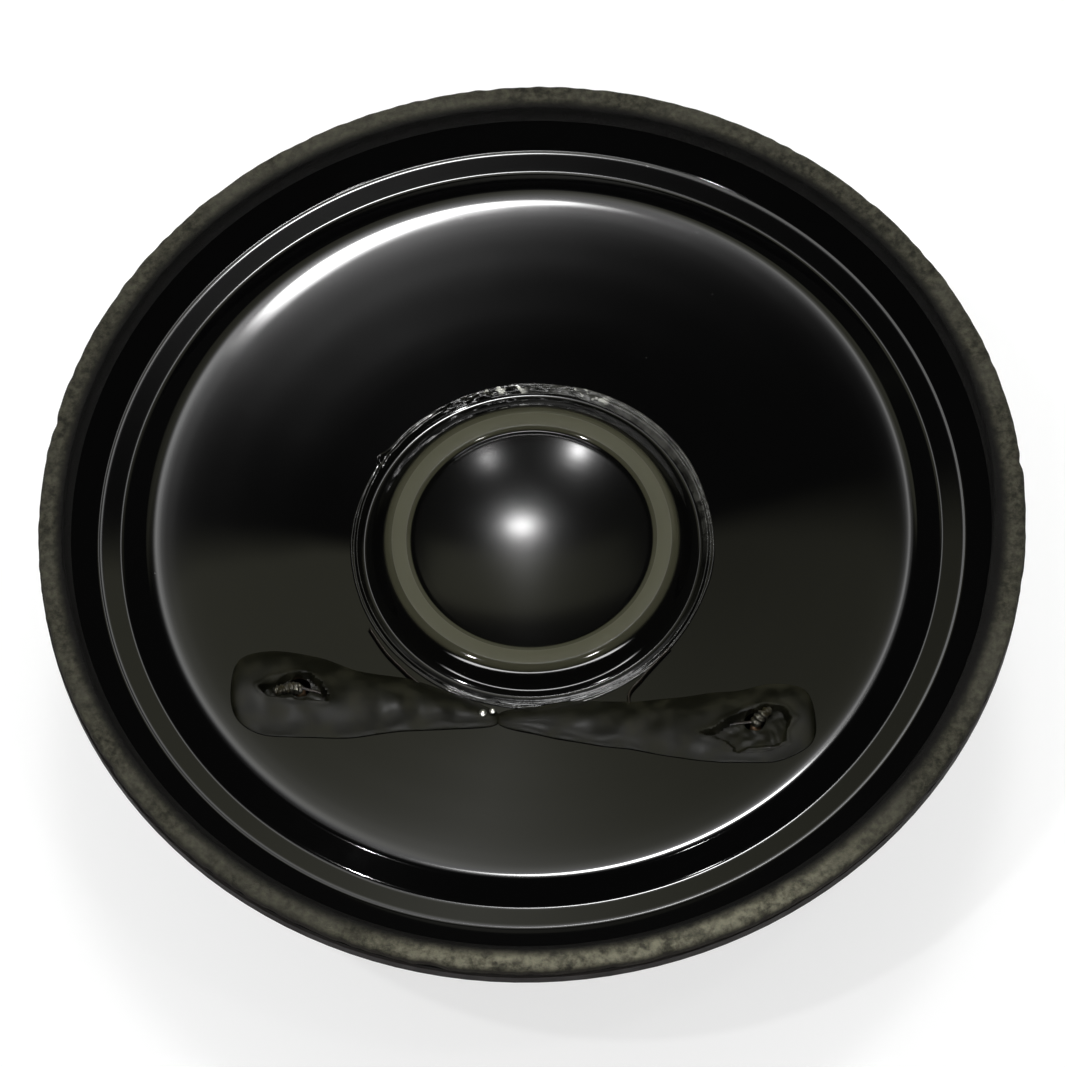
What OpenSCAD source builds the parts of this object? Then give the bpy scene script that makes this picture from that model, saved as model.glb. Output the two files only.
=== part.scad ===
// Miniature moving-coil loudspeaker with a pressed film diaphragm.
// It lies face up on its back plate: Z = 0 is the back, +Z points out of the face.

/* [Rim and gasket] */
// Width of the gasket ring, from its outer edge to its bore
gasket_w = 1.42; // [1.2:0.02:1.6]
// Thickness of the gasket ring
gasket_t = 0.7; // [0.5:0.1:1.2]
// How far the steel rim stands back inside the gasket's edge
rim_inset = 0.15; // [0.15:0.05:0.5]
// Width that the film is glued over, from the gasket's outer edge inwards
land_w = 1.75; // [1.65:0.05:2.2]

/* [Frame] */
// Thickness of the frame's steel sheet
sheet_t = 0.6; // [0.4:0.05:0.8]
// Height of the rim's land above the top plate
basket_h = 6.2; // [5.8:0.1:7]
// Height of the shoulder's front face above the top plate
shoulder_h = 2.7; // [2.2:0.1:3]
// Radius of the flat base that sits on the top plate: all wider radii follow from it
base_r = 15.2; // [15:0.1:15.6]
// Radial width of the shoulder between its two walls
shoulder_w = 5.25; // [5:0.05:6]
// Radius of the hole in the base
base_hole_r = 8.8; // [8.4:0.1:9.4]
// Radial run of the wall from base to shoulder
base_wall_w = 1.5; // [1.2:0.1:1.8]
// Radial run of the wall from shoulder to rim
rim_wall_w = 1.3; // [1:0.1:1.6]
// Radius of the bends in the sheet, on the front face
bend_r = 0.8; // [0.7:0.05:1]
// Number of curved windows in the shoulder
window_count = 6; // [5:1:7]
// Radial width of a window
window_w = 3.0; // [2.6:0.1:3.2]
// Angle that a window spans, end to end
window_arc = 38; // [34:1:40]

/* [Film diaphragm] */
// Thickness of the film, also of the centre cap
film_t = 0.12; // [0.08:0.02:0.16]
// Radial width of the flexible groove's outer slope
outer_slope_w = 1.5; // [1.3:0.1:1.7]
// Radial width of the groove's flat floor
groove_w = 1.05; // [0.8:0.05:1.3]
// Radial width of the groove's inner slope
inner_slope_w = 1.5; // [1.3:0.1:1.7]
// Depth of the groove's floor below the glued edge
groove_depth = 0.9; // [0.6:0.05:1]
// Height of the cone's edge above the groove's floor
crest_h = 0.42; // [0.3:0.02:0.6]
// Radial width of the steeper band at the cone's edge
lip_w = 1.3; // [1:0.1:1.6]
// Slope of that band, in degrees
lip_angle = 18; // [16:1:20]
// Slope of the cone, in degrees
cone_angle = 11; // [10:0.1:11.5]
// Length of the neck that turns down along the coil former
neck_h = 0.9; // [0.7:0.1:1.1]

/* [Centre cap] */
// Outer radius of the cap's glued flange
cap_flange_r = 8.9; // [8.8:0.05:9.1]
// Radius where the cap's wall rises from its flange
cap_wall_r = 8.38; // [8.3:0.02:8.5]
// Outer radius of the satin ridge ring
ridge_out_r = 7.31; // [7.2:0.01:7.4]
// Inner radius of the ridge ring, where the dish starts
ridge_in_r = 6.22; // [6.1:0.01:6.3]
// Height of the ridge above the cap's flange
ridge_h = 1.08; // [0.9:0.02:1.3]
// Radius of the dish pressed into the cap's middle
dish_curve = 15.5; // [13:0.5:20]
// Depth of the small step from the ridge down to the dish's edge
dish_step = 0.3; // [0.2:0.05:0.5]

/* [Motor] */
// Diameter of the ferrite magnet ring
magnet_d = 30; // [29:0.5:31]
// Inner diameter of the magnet ring
magnet_bore_d = 17; // [16:0.5:18]
// Thickness of the magnet
magnet_t = 4.5; // [4:0.1:6]
// Diameter of the back plate
back_plate_d = 28; // [27:0.5:28.5]
// Thickness of the back plate
back_plate_t = 2.0; // [1.6:0.1:2.5]
// Diameter of the top plate
top_plate_d = 28; // [27:0.5:28.5]
// Thickness of the top plate
top_plate_t = 2.0; // [1.8:0.1:2.5]
// Thickness of each adhesive joint in the magnet stack
glue_t = 0.1; // [0.05:0.05:0.2]
// Diameter of the pole piece in the gap
pole_d = 12.7; // [12.5:0.05:12.8]
// How far the pole stands above the top plate
pole_rise = 0.4; // [0:0.1:0.6]
// Diameter of the pole's spigot in the back plate
spigot_d = 6; // [5:0.5:7]
// Pitch circle radius of the staked bosses
stake_pcr = 11.9; // [11.6:0.1:12.1]
// Diameter of a staked boss
stake_d = 1.8; // [1.6:0.1:2]
// Number of staked bosses
stake_count = 4; // [3:1:6]

/* [Voice coil] */
// Radial air gap on each side of the moving coil
air_gap = 0.3; // [0.25:0.05:0.35]
// Wall of the coil former
former_t = 0.12; // [0.1:0.02:0.14]
// Radial build of the copper winding
winding_t = 0.25; // [0.2:0.05:0.3]
// Height of the winding
winding_h = 3.4; // [3:0.1:3.8]

/* [Terminals] */
// Direction of the terminal strip, in degrees
board_az = 265; // [260:1:270]
// Width of the terminal strip beyond each eyelet's centre
board_margin = 1.9; // [1.8:0.1:2.4]
// Radial length of the terminal strip
board_l = 4.6; // [4.4:0.1:5]
// Thickness of the terminal strip
board_t = 0.8; // [0.6:0.1:1.2]
// Diameter of the hollow rivet that holds the strip
rivet_d = 2.0; // [1.6:0.1:2.4]
// Diameter of an eyelet's barrel
eyelet_d = 1.4; // [1.2:0.1:1.5]
// Width of the flange on a rivet or an eyelet
head_w = 0.5; // [0.4:0.05:0.6]
// Thickness of the flange on a rivet or an eyelet
head_t = 0.25; // [0.2:0.05:0.3]
// Thickness of a solder lug
lug_t = 0.3; // [0.2:0.05:0.4]
// Width of a lug's tongue
lug_w = 2.2; // [2:0.1:2.6]
// Length of a lug's tongue from its eyelet's centre
lug_l = 4.6; // [4.4:0.1:5]
// Radius of the wire hole in a lug's tongue
lug_hole_r = 0.6; // [0.5:0.05:0.7]
// Height of a solder joint over its eyelet
solder_h = 0.55; // [0.4:0.05:0.7]

/* [Leads] */
// Distance of the left lead hole from the axis
left_hole_r = 14.35; // [14:0.05:14.6]
// Direction of the left lead hole, in degrees
left_hole_az = 212.5; // [211:0.5:214]
// Distance of the right lead hole from the axis
right_hole_r = 15.5; // [15.2:0.05:15.7]
// Direction of the right lead hole, in degrees
right_hole_az = 312.5; // [311:0.5:314]
// Radius of a lead hole in the cone
lead_hole_r = 0.8; // [0.7:0.05:0.9]
// Diameter of a tinsel lead
tinsel_d = 0.6; // [0.5:0.05:0.7]
// Diameter of an enamelled coil wire
wire_d = 0.16; // [0.12:0.02:0.2]
// Diameter of the soldered knot where wire and tinsel meet
knot_d = 1.0; // [0.8:0.05:1.2]
// How far outside the bead the humps begin and the coil wires leave it
lead_clear = 0.75; // [0.6:0.05:1]
// Length of the straight part of the left cavity, open round the lead hole
left_cavity_l = 2.2; // [1.6:0.1:2.6]
// Width of the left cavity
left_cavity_w = 1.2; // [1:0.1:1.5]
// Length of the straight part of the right cavity
right_cavity_l = 2.0; // [1.6:0.1:2.4]
// Width of the right cavity
right_cavity_w = 1.6; // [1.2:0.1:1.8]
// Height of the left adhesive hump over the cone
left_hump_h = 0.7; // [0.6:0.05:0.9]
// Height of the right adhesive hump over the cone
right_hump_h = 0.65; // [0.5:0.05:0.9]
// How far the adhesive bead round the cap reaches beyond the cap's flange
bead_w = 0.3; // [0.25:0.05:0.5]
// Height of that bead over the cap's flange
bead_h = 0.16; // [0.1:0.02:0.25]

/* [Hidden] */
$fn = 96;

// Gap left between faces that are glued or pressed together
seat_gap = 0.02;
// Segments in each rounded corner of a profile
arc_steps = 4;
// How far a cutting tool reaches past the sheet on each side
cut = 1;

// Heights in the motor's stack, from the back of the back plate
magnet_bottom = back_plate_t + glue_t;
magnet_top = magnet_bottom + magnet_t;
plate_bottom = magnet_top + glue_t;
plate_top = plate_bottom + top_plate_t;
base_z = plate_top + sheet_t;
shoulder_z = plate_top + shoulder_h;
shoulder_back = shoulder_z - sheet_t;
land_z = plate_top + basket_h;

// Heights at the front: the film lies on the land and the gasket on the film
film_z = land_z + film_t;
face_z = film_z + gasket_t;
groove_z = film_z - groove_depth;
crest_z = groove_z + crest_h;

// Radii outwards from the base to the gasket's edge, which makes the speaker 50 mm across
shoulder_in_r = base_r + base_wall_w;
shoulder_out_r = shoulder_in_r + shoulder_w;
window_r = (shoulder_in_r + shoulder_out_r) / 2;
land_r = shoulder_out_r + rim_wall_w;
gasket_r = land_r + land_w;
rim_r = gasket_r - rim_inset;

// Radii from the glued edge inwards to the cone's edge
groove_out_r = land_r - outer_slope_w;
groove_in_r = groove_out_r - groove_w;
cone_r = groove_in_r - inner_slope_w;
lip_r = cone_r - lip_w;
lip_z = crest_z - lip_w * tan(lip_angle);

// Radii outwards from the axis, through the magnet gap
pole_r = pole_d / 2;
former_in_r = pole_r + air_gap;
former_out_r = former_in_r + former_t;
coil_r = former_out_r + winding_t;
plate_hole_r = coil_r + air_gap;
neck_r = former_out_r + seat_gap;

// Height of the cone's front face at radius r
function cone_z(r) = r > lip_r ? crest_z - (cone_r - r) * tan(lip_angle)
    : lip_z - (lip_r - r) * tan(cone_angle);

neck_top = cone_z(neck_r);
neck_bottom = neck_top - neck_h;
// Height of the cap's flange over the cone below it
flange_rise = film_t / cos(cone_angle) + seat_gap;
valley_z = cone_z(cap_wall_r) + flange_rise;
ridge_z = valley_z + ridge_h;
coil_mid = (plate_bottom + plate_top) / 2;
coil_bottom = coil_mid - winding_h / 2;

// Outer radius of the adhesive bead round the cap
bead_r = cap_flange_r + bead_w;

// Directions of the windows, and of the eyelets at the centres of their round ends
window_step = 360 / window_count;
window_end = asin(window_w / 2 / window_r);
eyelet_turn = window_step / 2 - window_arc / 2 + window_end;
eyelet_side = window_r * sin(eyelet_turn);
eyelet_out = window_r * cos(eyelet_turn);
board_z = shoulder_back - board_t;
board_in = shoulder_in_r + sheet_t;
eyelet_top = shoulder_back + head_t;

function unit(v) = v / norm(v);
function reversed(list) = [for (i = [len(list) - 1 : -1 : 0]) list[i]];
// An angle brought between -180 and 180 degrees
function short_turn(a) = a - 360 * floor((a + 180) / 360);
// Plan point at a radius and a direction
function at2(r, az) = [r * cos(az), r * sin(az)];

// Arc of radius r that rounds the corner b between a and c
function corner(a, b, c, r) =
    let(u = unit(a - b), w = unit(c - b), half = acos(u * w) / 2)
    let(start = b + u * r / tan(half), stop = b + w * r / tan(half))
    let(mid = b + unit(u + w) * r / sin(half))
    let(a0 = atan2(start.y - mid.y, start.x - mid.x), a1 = atan2(stop.y - mid.y, stop.x - mid.x))
    [for (i = [0 : arc_steps]) mid + r * [cos(a0 + short_turn(a1 - a0) * i / arc_steps),
        sin(a0 + short_turn(a1 - a0) * i / arc_steps)]];

// A path of [x, z, radius] points with each corner rounded by its radius
function rounded(path) = [for (i = [0 : len(path) - 1]) each
    path[i].z == 0 || i == 0 || i == len(path) - 1 ? [[path[i].x, path[i].y]]
    : corner([path[i - 1].x, path[i - 1].y], [path[i].x, path[i].y], [path[i + 1].x, path[i + 1].y],
        path[i].z)];

// The path moved by t to the right of its own direction
function right_normal(a, b) = let(d = unit(b - a)) [d.y, -d.x];
function moved_right(path, t) = [for (i = [0 : len(path) - 1])
    let(before = right_normal(path[max(i - 1, 0)], path[max(i, 1)]))
    let(after = right_normal(path[min(i, len(path) - 2)], path[min(i + 1, len(path) - 1)]))
    path[i] + (before + after) * t / (1 + before * after)];

// A sheet of thickness t under the path; one that starts on the axis stays closed there
function sheet(path, t) = concat(path, reversed([for (i = [0 : len(path) - 1])
    path[0].x == 0 && i == 0 ? [0, path[0].y - t] : moved_right(path, t)[i]]));

// Smooth curve through the points, with a number of steps between each pair
function smooth(path, steps) = concat([for (i = [0 : len(path) - 2], j = [0 : steps - 1])
    let(a = path[max(i - 1, 0)], b = path[i], c = path[i + 1], d = path[min(i + 2, len(path) - 1)], t = j / steps)
    (2 * b + (c - a) * t + (2 * a - 5 * b + 4 * c - d) * t * t + (3 * b - a - 3 * c + d) * t * t * t) / 2],
    [path[len(path) - 1]]);

// Tube of radius r along a path: its rings keep from turning about the path
tube_sides = 8;
function heading(path, i) = unit(path[min(i + 1, len(path) - 1)] - path[max(i - 1, 0)]);
function squared(v, along) = unit(v - (v * along) * along);
function ring_axes(path, axis, i = 0) = i == len(path) ? []
    : let(now = squared(axis, heading(path, i))) concat([now], ring_axes(path, now, i + 1));
module tube(path, r, axis) {
    axes = ring_axes(path, axis);
    last = len(path) - 1;
    n = tube_sides;
    points = [for (i = [0 : last], k = [0 : n - 1])
        path[i] + r * (cos(360 * k / n) * axes[i] + sin(360 * k / n) * cross(heading(path, i), axes[i]))];
    walls = [for (i = [0 : last - 1], k = [0 : n - 1])
        [i * n + k, (i + 1) * n + k, (i + 1) * n + (k + 1) % n, i * n + (k + 1) % n]];
    ends = [[for (k = [0 : n - 1]) k], [for (k = [n - 1 : -1 : 0]) last * n + k]];
    polyhedron(points, concat(walls, ends), convexity = 4);
}

module profile(points) rotate_extrude() polygon(points);

// Turned ring between two radii and two heights
module ring(r_in, r_out, z0, z1) profile([[r_in, z0], [r_out, z0], [r_out, z1], [r_in, z1]]);

// Direction of the terminal strip, with +X pointing away from the axis
module at_board() rotate(board_az) children();

module at_eyelets() {
    for (side = [-1, 1]) at_board() translate([eyelet_out, side * eyelet_side, 0]) children();
}

// Curved slot with round ends, seen from the front
module window_outline() {
    half = window_arc / 2 - window_end;
    intersection() {
        difference() {
            circle(window_r + window_w / 2);
            circle(window_r - window_w / 2);
        }
        polygon([[0, 0], at2(2 * window_r, -half), at2(2 * window_r, 0), at2(2 * window_r, half)]);
    }
    for (a = [-half, half]) rotate(a) translate([window_r, 0]) circle(window_w / 2);
}

// Pressed-steel basket: base, wall, shoulder, wall and rim, with windows and staking holes
module frame() {
    path = rounded([[base_hole_r, base_z, 0], [base_r, base_z, bend_r], [shoulder_in_r, shoulder_z, bend_r],
        [shoulder_out_r, shoulder_z, bend_r], [land_r, land_z, bend_r], [rim_r, land_z, 0]]);
    color("#26282a") difference() {
        profile(sheet(path, sheet_t));
        for (i = [0 : window_count - 1]) rotate(board_az + window_step * (i + 0.5))
            translate([0, 0, shoulder_back - cut]) linear_extrude(sheet_t + 2 * cut) window_outline();
        at_stakes() translate([0, 0, plate_top - cut]) cylinder(h = sheet_t + 2 * cut, d = stake_d + 2 * seat_gap);
        at_board() translate([window_r, 0, shoulder_back - cut])
            cylinder(h = sheet_t + 2 * cut, d = rivet_d + 2 * seat_gap);
    }
}

// Punched paper ring with softened edges on its front
module gasket() {
    edge = 0.25;
    path = rounded([[gasket_r - gasket_w, film_z, 0], [gasket_r - gasket_w, face_z, edge],
        [gasket_r, face_z, edge], [gasket_r, film_z, 0]]);
    color("#4a4a40") profile(path);
}

// Rim of the film: glued edge, outer slope, flat groove and inner slope up to the cone's edge
module surround() {
    bend = 0.3;
    crest_w = inner_slope_w * 0.35;
    seam = film_t * sin(lip_angle) + 2 * seat_gap;
    path = rounded([[cone_r + seam, crest_z, 0], [cone_r + crest_w, crest_z, bend],
        [groove_in_r, groove_z, bend], [groove_out_r, groove_z, bend], [land_r, film_z, bend],
        [rim_r - rim_inset, film_z, 0]]);
    color("#141516") profile(sheet(path, film_t));
}

// Shallow film cone with its neck and the two lead holes
module cone() {
    bend = 0.35;
    lip_bend = 2;
    path = rounded([[neck_r, neck_bottom, 0], [neck_r, neck_top, bend], [lip_r, lip_z, lip_bend],
        [cone_r, crest_z, 0]]);
    color("#111213") difference() {
        profile(sheet(path, film_t));
        for (hole = [left_hole, right_hole]) translate([hole.x, hole.y, neck_bottom])
            cylinder(h = crest_z - neck_bottom, r = lead_hole_r);
    }
}

// Formed film cap: shallow dish, ridge ring with a crown, wall and glued flange
dish_steps = 16;
step_run = 0.25;
dish_edge = ridge_in_r - step_run;
dish_sink = dish_curve - sqrt(pow(dish_curve, 2) - pow(dish_edge, 2));
function dish_z(r) = ridge_z - dish_step - dish_sink + dish_curve - sqrt(pow(dish_curve, 2) - r * r);
module centre_cap() {
    foot_bend = 0.25;
    crown = 0.3;
    crown_rise = 0.06;
    edge_bend = 0.15;
    ridge_bend = 2;
    dish = [for (i = [0 : dish_steps - 1]) let(r = dish_edge * i / dish_steps) [r, dish_z(r), 0]];
    skirt = [[dish_edge, dish_z(dish_edge), edge_bend], [ridge_in_r, ridge_z - crown_rise, crown],
        [(ridge_in_r + ridge_out_r) / 2, ridge_z, ridge_bend], [ridge_out_r, ridge_z - crown_rise, crown],
        [cap_wall_r, valley_z, foot_bend], [cap_flange_r, cone_z(cap_flange_r) + flange_rise, 0]];
    color("#1b1c1c") profile(sheet(rounded(concat(dish, skirt)), film_t));
}

// Adhesive bead that covers the edge of the cap's flange
module cap_glue() {
    lap = 0.35;
    slope = 0.05;
    top = cap_flange_r - lap;
    edge = cap_flange_r + seat_gap;
    function on_flange(r) = cone_z(r) + flange_rise;
    color("#2a2a26") profile([[top, on_flange(top) + seat_gap], [edge, on_flange(edge) + seat_gap],
        [edge, cone_z(edge) + seat_gap], [bead_r, cone_z(bead_r) + seat_gap],
        [bead_r - slope, cone_z(bead_r) + bead_h], [cap_flange_r, on_flange(cap_flange_r) + bead_h],
        [cap_flange_r - lap / 2, on_flange(cap_flange_r) + bead_h * 0.8]]);
}

// Paper tube: it reaches from below the winding up to the underside of the cap's ridge
module coil_former() {
    tail = 0.2;
    color("#b08a50") ring(former_in_r, former_out_r, coil_bottom - tail, ridge_z - film_t - seat_gap);
}

// Copper winding in the magnet gap, two layers of fine wire
module voice_coil() {
    color("#b5602c") ring(former_out_r + seat_gap / 2, coil_r, coil_bottom, coil_bottom + winding_h);
}

// Adhesive fillet under the cone's neck
module former_glue() {
    fillet = 0.5;
    color("#57534a") profile([[neck_r, neck_bottom - fillet], [neck_r + film_t, neck_bottom - seat_gap],
        [neck_r, neck_bottom - seat_gap]]);
}

module at_stakes() {
    for (i = [0 : stake_count - 1]) rotate(board_az + 360 / stake_count * (i + 0.5))
        translate([stake_pcr, 0, 0]) children();
}

// Front plate of the magnet: its bosses pass through the frame and are flattened over it
module top_plate() {
    head_r = stake_d / 2 + 0.45;
    head_h = 0.35;
    edge = 0.3;
    color("#8a8d90") {
        profile(rounded([[plate_hole_r, plate_bottom, 0], [top_plate_d / 2, plate_bottom, 0],
            [top_plate_d / 2, plate_top, edge], [plate_hole_r, plate_top, 0]]));
        at_stakes() translate([0, 0, plate_top - seat_gap]) cylinder(h = sheet_t + 2 * seat_gap, d = stake_d);
        at_stakes() translate([0, 0, base_z + seat_gap]) rotate_extrude()
            polygon([[0, 0], [head_r, 0], [head_r, head_h * 0.5], [head_r * 0.7, head_h], [0, head_h]]);
    }
}

module magnet() {
    chamfer = 0.4;
    r_in = magnet_bore_d / 2;
    r_out = magnet_d / 2;
    color("#3b3b3d") profile([[r_in, magnet_bottom], [r_out - chamfer, magnet_bottom],
        [r_out, magnet_bottom + chamfer], [r_out, magnet_top - chamfer], [r_out - chamfer, magnet_top],
        [r_in, magnet_top]]);
}

module back_plate() {
    chamfer = 0.35;
    r_in = spigot_d / 2 + seat_gap;
    r_out = back_plate_d / 2;
    color("#8a8d90") profile([[r_in + chamfer, 0], [r_out - chamfer, 0], [r_out, chamfer],
        [r_out, back_plate_t], [r_in, back_plate_t], [r_in, chamfer]]);
}

// Turned steel pole with a spigot pressed into the back plate
module pole_piece() {
    chamfer = 0.4;
    top = plate_top + pole_rise;
    dish = 0.15;
    color("#9a9da0") profile([[0, dish], [spigot_d / 2 - chamfer, dish], [spigot_d / 2, dish + chamfer],
        [spigot_d / 2, back_plate_t], [pole_r, back_plate_t], [pole_r, top - chamfer],
        [pole_r - chamfer, top], [0, top]]);
}

// Adhesive layers between plates and magnet, each with a bead squeezed out at the edge
module magnet_glue() {
    bead = 0.4;
    inset = 0.3;
    r_in = magnet_bore_d / 2 + inset;
    color("#2d2f2a") {
        profile([[r_in, back_plate_t], [back_plate_d / 2, back_plate_t],
            [back_plate_d / 2 + seat_gap, back_plate_t - bead], [back_plate_d / 2 + bead, magnet_bottom],
            [r_in, magnet_bottom]]);
        profile([[r_in, magnet_top], [top_plate_d / 2 + bead, magnet_top],
            [top_plate_d / 2 + seat_gap, plate_bottom + bead], [top_plate_d / 2, plate_bottom],
            [r_in, plate_bottom]]);
    }
}

// Phenolic strip under the shoulder, with holes for its rivet and the two eyelets
module terminal_board() {
    color("#8a5a2b") difference() {
        at_board() translate([board_in, -eyelet_side - board_margin, board_z])
            cube([board_l, 2 * (eyelet_side + board_margin), board_t]);
        at_board() translate([window_r, 0, board_z - cut])
            cylinder(h = board_t + 2 * cut, d = rivet_d + 2 * seat_gap);
        at_eyelets() translate([0, 0, board_z - cut])
            cylinder(h = board_t + 2 * cut, d = eyelet_d + 2 * seat_gap);
    }
}

// Hollow rivet from z0 to z1 with a flange at each end
module hollow_rivet(d, z0, z1) {
    wall = 0.25;
    bore = d / 2 - wall;
    head = d / 2 + head_w;
    rotate_extrude() polygon([[bore, z0 - head_t], [head, z0 - head_t], [head, z0 - seat_gap],
        [d / 2, z0 - seat_gap], [d / 2, z1 + seat_gap], [head, z1 + seat_gap], [head, z1 + head_t],
        [bore, z1 + head_t]]);
}

module board_rivet() {
    color("#b9a05a") at_board() translate([window_r, 0, 0])
        hollow_rivet(rivet_d, board_z, shoulder_z);
}

// Eyelets through strip and lug: their front flanges lie in the round ends of two windows
module terminal_rivets() {
    color("#b9a05a") at_eyelets() hollow_rivet(eyelet_d, board_z - lug_t, shoulder_back);
}

// Solder lug: a round eye and a tongue with a wire hole
module lug() {
    eye_margin = 0.2;
    color("#c9c9c4") translate([0, 0, board_z - lug_t]) linear_extrude(lug_t) difference() {
        union() {
            circle(r = eyelet_d / 2 + head_w + eye_margin);
            translate([0, -lug_w / 2]) square([lug_l - lug_w / 2, lug_w]);
            translate([lug_l - lug_w / 2, 0]) circle(d = lug_w);
        }
        circle(d = eyelet_d + 2 * seat_gap);
        translate([lug_l - lug_w / 2, 0]) circle(r = lug_hole_r);
    }
}
module terminal_lug_left() at_board() translate([eyelet_out, -eyelet_side, 0]) rotate(-90) lug();
module terminal_lug_right() at_board() translate([eyelet_out, eyelet_side, 0]) rotate(90) lug();

// Solder over each eyelet's front flange, where a tinsel lead ends
module terminal_solder() {
    r = eyelet_d / 2 + head_w * 0.6;
    color("#b7b9b8") at_eyelets() translate([0, 0, eyelet_top + seat_gap]) rotate_extrude()
        polygon(concat([[0, 0]], [for (i = [0 : 6]) [r * cos(15 * i), solder_h * sin(15 * i)]]));
}

// Lead holes, and the points beside the bead where the humps begin
left_hole = at2(left_hole_r, left_hole_az);
right_hole = at2(right_hole_r, right_hole_az);
left_start = at2(bead_r + lead_clear, 254.5);
right_start = at2(bead_r + lead_clear, 259);
// Plan point at a share of the way from a hump's start to its hole, and a distance to the side
function beside(start, hole, share, side) =
    let(way = hole - start) start + way * share + side * [-way.y, way.x] / norm(way);
function eyelet_at(side) = [eyelet_out * cos(board_az) - side * eyelet_side * sin(board_az),
    eyelet_out * sin(board_az) + side * eyelet_side * cos(board_az)];
knot_rise = 0.2;
function knot_z(hole) = cone_z(norm(hole)) + knot_rise;

// Slack route of a tinsel lead: down from the cone's hole, over the shoulder, to its eyelet
function tinsel_route(hole, eye) =
    let(top = knot_z(hole) - knot_d / 2 - 0.05, end = eyelet_top + solder_h - 0.1)
    let(slack = shoulder_z + tinsel_d + 0.35)
    [[hole.x, hole.y, top], [hole.x, hole.y, top - 0.6],
        [hole.x * 0.93 + eye.x * 0.07, hole.y * 0.93 + eye.y * 0.07, slack + 0.15],
        [hole.x * 0.7 + eye.x * 0.3, hole.y * 0.7 + eye.y * 0.3, slack],
        [hole.x * 0.35 + eye.x * 0.65, hole.y * 0.35 + eye.y * 0.65, slack + 0.2],
        [hole.x * 0.08 + eye.x * 0.92, hole.y * 0.08 + eye.y * 0.92, slack],
        [eye.x, eye.y, end + 0.6], [eye.x, eye.y, end]];
module tinsel(hole, eye) {
    color("#8c6a3e") tube(smooth(tinsel_route(hole, eye), 3), tinsel_d / 2, [hole.y, -hole.x, 0]);
}
module tinsel_lead_left() tinsel(left_hole, eyelet_at(-1));
module tinsel_lead_right() tinsel(right_hole, eyelet_at(1));

// Soldered tips where the coil's wires meet the tinsel leads, one in each cavity
module lead_knots() {
    color("#6d6a4c") for (hole = [left_hole, right_hole]) translate([hole.x, hole.y, knot_z(hole)])
        sphere(d = knot_d);
}

// A plan point laid on the cone at a height over it
function over_cone(p, rise) = [p.x, p.y, cone_z(norm([p.x, p.y])) + rise];

// Coil wires: out of the bead, once along it, then under the hump to the knot
wire_r = bead_r + wire_d / 2 + 0.15;
left_wire = [at2(wire_r, 222), at2(wire_r + 0.1, 230), at2(wire_r + 0.5, 237),
    beside(left_start, left_hole, 0.45, -0.04), beside(left_start, left_hole, 0.71, 0.25), left_hole];
right_wire = [at2(wire_r, 330), at2(wire_r + 0.1, 319), at2(wire_r + 0.5, 308),
    beside(right_start, right_hole, 0.68, 0.31), beside(right_start, right_hole, 0.83, -0.15), right_hole];
module coil_wire(route) {
    rise = wire_d / 2 + seat_gap * 1.5;
    color("#9c4a25") tube(smooth([for (p = route) over_cone(p, rise)], 4), wire_d / 2, [0, 0, 1]);
}
module coil_wire_left() coil_wire(left_wire);
module coil_wire_right() coil_wire(right_wire);

// Adhesive humps, as stations along each one: share of the way to the hole, distance to the side,
// half width and share of the height
left_hump = [[0, 0, 0.3, 0.4], [0.1, 0, 0.75, 0.65], [0.25, -0.07, 1.1, 0.85], [0.47, -0.05, 1.6, 1],
    [0.72, 0.37, 2.0, 1], [0.94, 0.43, 2.35, 1], [1.12, 0.52, 2.4, 0.95], [1.25, 0.62, 1.85, 0.7],
    [1.33, 0.73, 0.5, 0.3]];
right_hump = [[0, 0, 0.3, 0.4], [0.09, 0.06, 0.8, 0.7], [0.23, 0.11, 1.15, 0.85], [0.51, -0.14, 1.5, 0.9],
    [0.82, -0.27, 2.05, 1], [1.01, -0.15, 2.2, 1], [1.14, 0.16, 1.85, 0.85], [1.22, 0.39, 0.7, 0.4]];
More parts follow.
